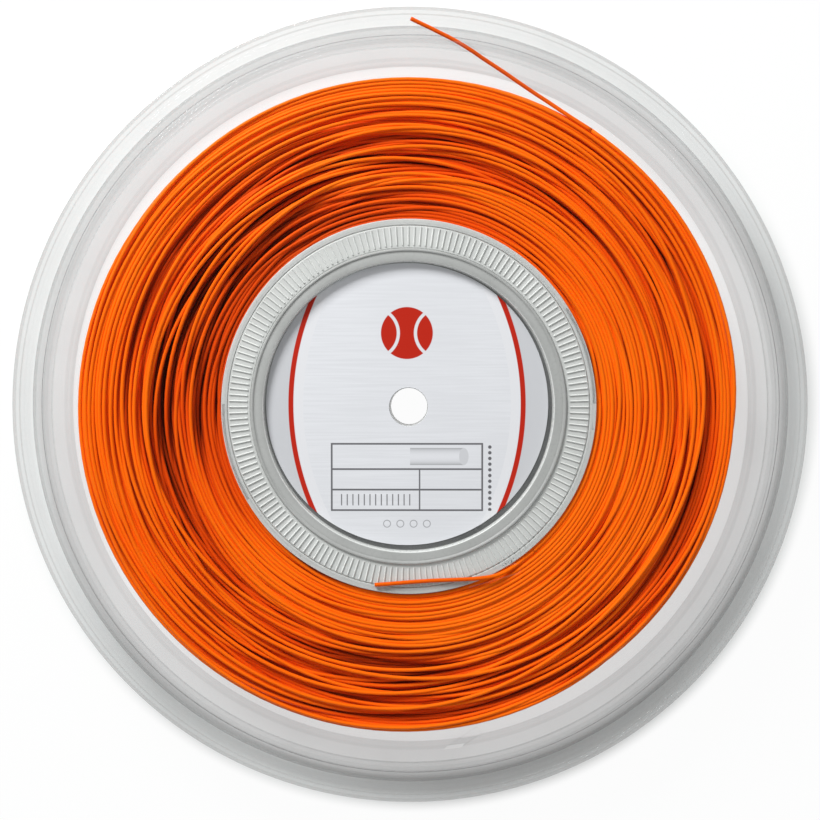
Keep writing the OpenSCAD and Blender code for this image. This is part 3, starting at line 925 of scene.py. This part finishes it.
def add_barrel(c):
    """The frosted tube between the flanges."""
    # Painted light: the barrel's colour is half again lighter than the hub's, lifting the narrow shaded gap
    # between the ring and the winding
    frost = frosted_material("barrel_frost", tinted(c.frosted, 1.5), 0.6)
    points, faces = turned(rounded(BARREL_OUTLINE))
    piece = add_piece("barrel_frosted", at_end(points, False), faces, [frost], "clear_plastic")
    crease(piece)
    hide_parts("hub_barrel")


def add_hub_end(end, rear, materials):
    """One end of the hub: the ribbed ring, and the label cup with the spokes behind its floor."""
    pale, rib_highlight, hub, recess = materials
    ring, cup = turned(rounded(RING_OUTLINE)), turned(rounded(CUP_OUTLINE))
    ribs = radial_bars(180, SEAT_R + 0.9, RING_R - 0.5, 0.5, SIDE - 0.1, SIDE + 0.45, 0.2)
    spokes = radial_bars(8, BORE_R + 1.9, RECESS_R, 1.2, CUP_BACK - 3, CUP_BACK + 0.05, 0.05, 0.5)

    points, faces = joined(ring, ribs)
    kinds = np.arange(sum(len(f) for f in faces)) >= len(ring[1][0])
    at = at_end(points, rear)
    piece = add_piece(end + "_ring_frosted", at, faces, [pale, rib_highlight], "hub_plastic", kinds)
    crease(piece)
    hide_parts(end + "_hub_ring")

    points, faces = joined(cup, spokes)
    x, y, height = cup[0][cup[1][0]].mean(1).T
    reach = np.hypot(x, y)
    # Painted shade: the recess floor gets the dark recess colour. Painted highlight: the collar's inner wall
    # gets the lighter rib colour
    floor = (reach > BORE_R + 3) & (reach < RECESS_R - 0.1) & (abs(height - RECESS) < 0.05)
    wall = (reach > RECESS_R - 0.6) & (reach < RECESS_R + 0.2) & (height > RECESS + 0.4)
    kinds = np.zeros(sum(len(f) for f in faces))
    kinds[:len(reach)] = floor + 2 * wall
    at = at_end(points, rear)
    piece = add_piece(end + "_cup_frosted", at, faces, [hub, recess, rib_highlight], "hub_plastic", kinds)
    crease(piece)
    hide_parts(end + "_label_cup")


class REEL_OT_hub(bpy.types.Operator):
    """Frosted barrel, ribbed rings and label cups"""
    bl_idname = "reel.hub"
    bl_label = "Hub"

    def execute(self, context):
        c = context.scene.reel_plastic
        add_barrel(c)
        hub = frosted_material("hub_frost", tuple(c.frosted), 0.62)
        pale = frosted_material("ring_frost", tinted(c.frosted, 1.3), 0.75)
        # Painted highlight: the lighter rib colour, used on the ribs and on the cup's inner wall at the label's
        # edge
        rib_highlight = frosted_material("rib_highlight_frost", tuple(c.rib_highlight), 0.85)
        # Painted shade: a dark, mostly opaque floor for the recess round the label
        recess = frosted_material("recess_shade", tuple(c.recess), 0.6, 0.03)
        for end, rear in (("front", False), ("rear", True)):
            add_hub_end(end, rear, (pale, rib_highlight, hub, recess))
        return {"FINISHED"}


def hidden_cuts(middle, parts, reach=400):
    """Even cuts along a path, each moved within reach to where the path is deepest between the flanges."""
    cuts = np.linspace(0, len(middle) - 1, parts + 1).astype(int)
    for n in range(1, parts):
        near = np.arange(cuts[n] - reach, cuts[n] + reach)
        cuts[n] = near[np.abs(middle[near, 2] - MIDDLE_MM).argmin()]
    return cuts


class REEL_OT_winding(bpy.types.Operator):
    """The wound string, in pieces along its length"""
    bl_idname = "reel.winding"
    bl_label = "Winding"

    def execute(self, context):
        w = context.scene.reel_winding
        wind = Wind(w)
        middle = wind.points()
        most = wind.most[:wind.last + 1]
        roof = np.concatenate([most[:1], most, most[-1:]])
        print("winding", round(path_length(middle) * MM, 1), "m")
        material = string_material(w)
        parts, sides, radius = 4, 8, w.string_mm / 2
        cuts = hidden_cuts(middle, parts)
        for n in range(parts):
            run = slice(cuts[n], cuts[n + 1] + 1)
            points, faces = swept_tube(middle[run], radius, sides)
            piece = add_piece(f"wound_string_{n + 1}", points * MM, faces, [material], "string")
            # Painted shade: how deep each point lies inside the winding, stored as 'lit' (1 near its faces, 0
            # from 6.5 mm down)
            inside = wind.half + radius - np.abs(points[:, 2] - MIDDLE_MM)
            below = np.repeat(roof[run], sides) + radius - np.hypot(points[:, 0], points[:, 1])
            depth = np.clip((np.minimum(inside, below) - 0.5) / 6, 0, 1)
            lit = piece.data.attributes.new("lit", "FLOAT", "POINT")
            lit.data.foreach_set("value", (1 - depth).astype(np.float32))
            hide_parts("string_core", "string_winding")
        return {"FINISHED"}


class REEL_OT_string_ends(bpy.types.Operator):
    """The locked outer end and the inner end across the hub"""
    bl_idname = "reel.string_ends"
    bl_label = "String ends"

    def execute(self, context):
        w = context.scene.reel_winding
        material = end_material(w)
        ends = ("outer_end", "string_tail", TAIL_ROUTE_MM), ("inner_end", "string_start", START_ROUTE_MM)
        for name, node, route in ends:
            path = smooth_route(route) * MM
            points, faces = swept_tube(path, w.string_mm / 2 * MM, 12)
            piece = add_piece(name, points, faces, [material], "string")
            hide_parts(node)
        return {"FINISHED"}


class REEL_OT_label(bpy.types.Operator):
    """The printed label in the front recess"""
    bl_idname = "reel.label"
    bl_label = "Label"

    def execute(self, context):
        c = context.scene.reel_label
        low, high, outer, hole = LABEL_LOW_MM, LABEL_HIGH_MM, c.radius_mm, BORE_R + 0.1
        corners = [(hole, low, 0.05), (hole, high, 0.1), (outer, high, 0.1), (outer, low, 0.05)]
        points, faces = turned(rounded(corners))
        outwards = (np.hypot(points[:, 0], points[:, 1]) - hole) / (outer - hole)
        points[:, :2] += outwards[:, None] * list(c.shift_mm)
        piece = add_piece("label_disc", points * MM, faces, [label_material(c)], "label")
        crease(piece)
        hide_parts("front_label")
        return {"FINISHED"}


# ---- the stage

def add_camera(st):
    """A camera whose picture has the world's X across."""
    scene = bpy.context.scene
    camera = bpy.data.objects.new("camera", bpy.data.cameras.new("camera"))
    eye, aim = Vector(st.eye_mm) * MM, Vector(st.aim_mm) * MM
    back = (eye - aim).normalized()
    across = Vector((1, 0, 0)) - back * back.x
    across.normalize()
    camera.matrix_world = Matrix((across, back.cross(across), back)).transposed().to_4x4()
    camera.location = eye
    camera.data.lens = st.lens
    camera.data.sensor_width = 36
    camera.data.clip_start = 0.01
    scene.collection.objects.link(camera)
    scene.camera = camera


def area_light(name, place, size, watts):
    """A square soft light that looks at the origin."""
    lamp = bpy.data.lights.new(name, "AREA")
    lamp.shape = "RECTANGLE"
    lamp.size, lamp.size_y = size, size
    lamp.energy = watts
    light = bpy.data.objects.new(name, lamp)
    light.location = place
    light.rotation_euler = (-Vector(place)).to_track_quat("-Z", "Y").to_euler()
    bpy.context.scene.collection.objects.link(light)


def seen(s):
    """1 where a ray comes straight from the eye, a mirror or glass."""
    camera_ray, glossy, through = (s.add("ShaderNodeLightPath", out=i) for i in (0, 3, 6))
    return camera_ray.most(glossy).most(through)


def floor_material():
    """White paper. Its own glow lifts it to white round the reel and in the bore, less under the clear disc,
    and not at all under the rim band, which therefore looks grey."""
    s = Shader("floor_white")
    (x, y, _), _ = s.place()
    out = distance(x, y)
    under, beyond, bore = (out.ramp(*slope, *glow) for slope, glow in (UNDER_REEL, ROUND_REEL, IN_BORE))
    body = s.add("ShaderNodeBsdfDiffuse", None, {"Color": (0.95, 0.985, 0.98)})
    glow = s.add("ShaderNodeEmission", None, {"Color": (1, 1, 1), "Strength": 1.0})
    share_of_glow = seen(s) * under.most(beyond).most(bore)
    s.add_output(s.add("ShaderNodeMixShader", None, {0: share_of_glow, 1: body, 2: glow}))
    return s.owner


class REEL_OT_stage(bpy.types.Operator):
    """White floor, soft lights, sky and camera"""
    bl_idname = "reel.stage"
    bl_label = "Stage"

    def execute(self, context):
        st = context.scene.reel_stage
        add_camera(st)
        half, drop = 3, 0.0002
        corners = half * np.array([(-1, -1, 0), (1, -1, 0), (1, 1, 0), (-1, 1, 0)], float)
        corners[:, 2] = CAD_BOX[0][2] - drop
        floor = add_piece("floor", corners, [np.arange(4)[None, :]], [floor_material()], None, smooth=False)

        context.scene.world = bpy.data.worlds.new("sky")
        s = Shader("sky", context.scene.world)
        strength = seen(s) * (1 - st.sky) + st.sky
        sky = s.add("ShaderNodeBackground", None, {"Color": (1, 1, 1), "Strength": strength})
        s.add_output(sky, "ShaderNodeOutputWorld")

        area_light("key", (-0.41, 0.70, 0.60), 0.4, st.key_watts)
        area_light("fill", (0.45, 0.5, 0.75), 0.14, st.fill_watts)
        context.scene.view_settings.view_transform = "Standard"
        return {"FINISHED"}


class REEL_PT_panel(bpy.types.Panel):
    """Lists the reel's operators"""
    bl_label = "String Reel"
    bl_idname = "REEL_PT_panel"
    bl_space_type = "VIEW_3D"
    bl_region_type = "UI"
    bl_category = "Reel"

    def draw(self, context):
        for operator in OPERATORS:
            self.layout.operator(operator.bl_idname)


GROUPS = {
    "reel_winding": ReelWinding, "reel_plastic": ReelPlastic,
    "reel_label": ReelLabel, "reel_stage": ReelStage,
}
OPERATORS = REEL_OT_stage, REEL_OT_string_ends, REEL_OT_flanges, REEL_OT_hub, REEL_OT_winding, REEL_OT_label


def register():
    for cls in (*GROUPS.values(), *OPERATORS, REEL_PT_panel):
        bpy.utils.register_class(cls)
    for name, group in GROUPS.items():
        setattr(bpy.types.Scene, name, bpy.props.PointerProperty(type=group))


def unregister():
    for name in GROUPS:
        delattr(bpy.types.Scene, name)
    for cls in reversed((*GROUPS.values(), *OPERATORS, REEL_PT_panel)):
        bpy.utils.unregister_class(cls)


def main():
    register()
    bpy.ops.reel.stage()
    bpy.ops.reel.string_ends()
    bpy.ops.reel.flanges()
    bpy.ops.reel.hub()
    bpy.ops.reel.winding()
    bpy.ops.reel.label()


if __name__ == "__main__":
    main()
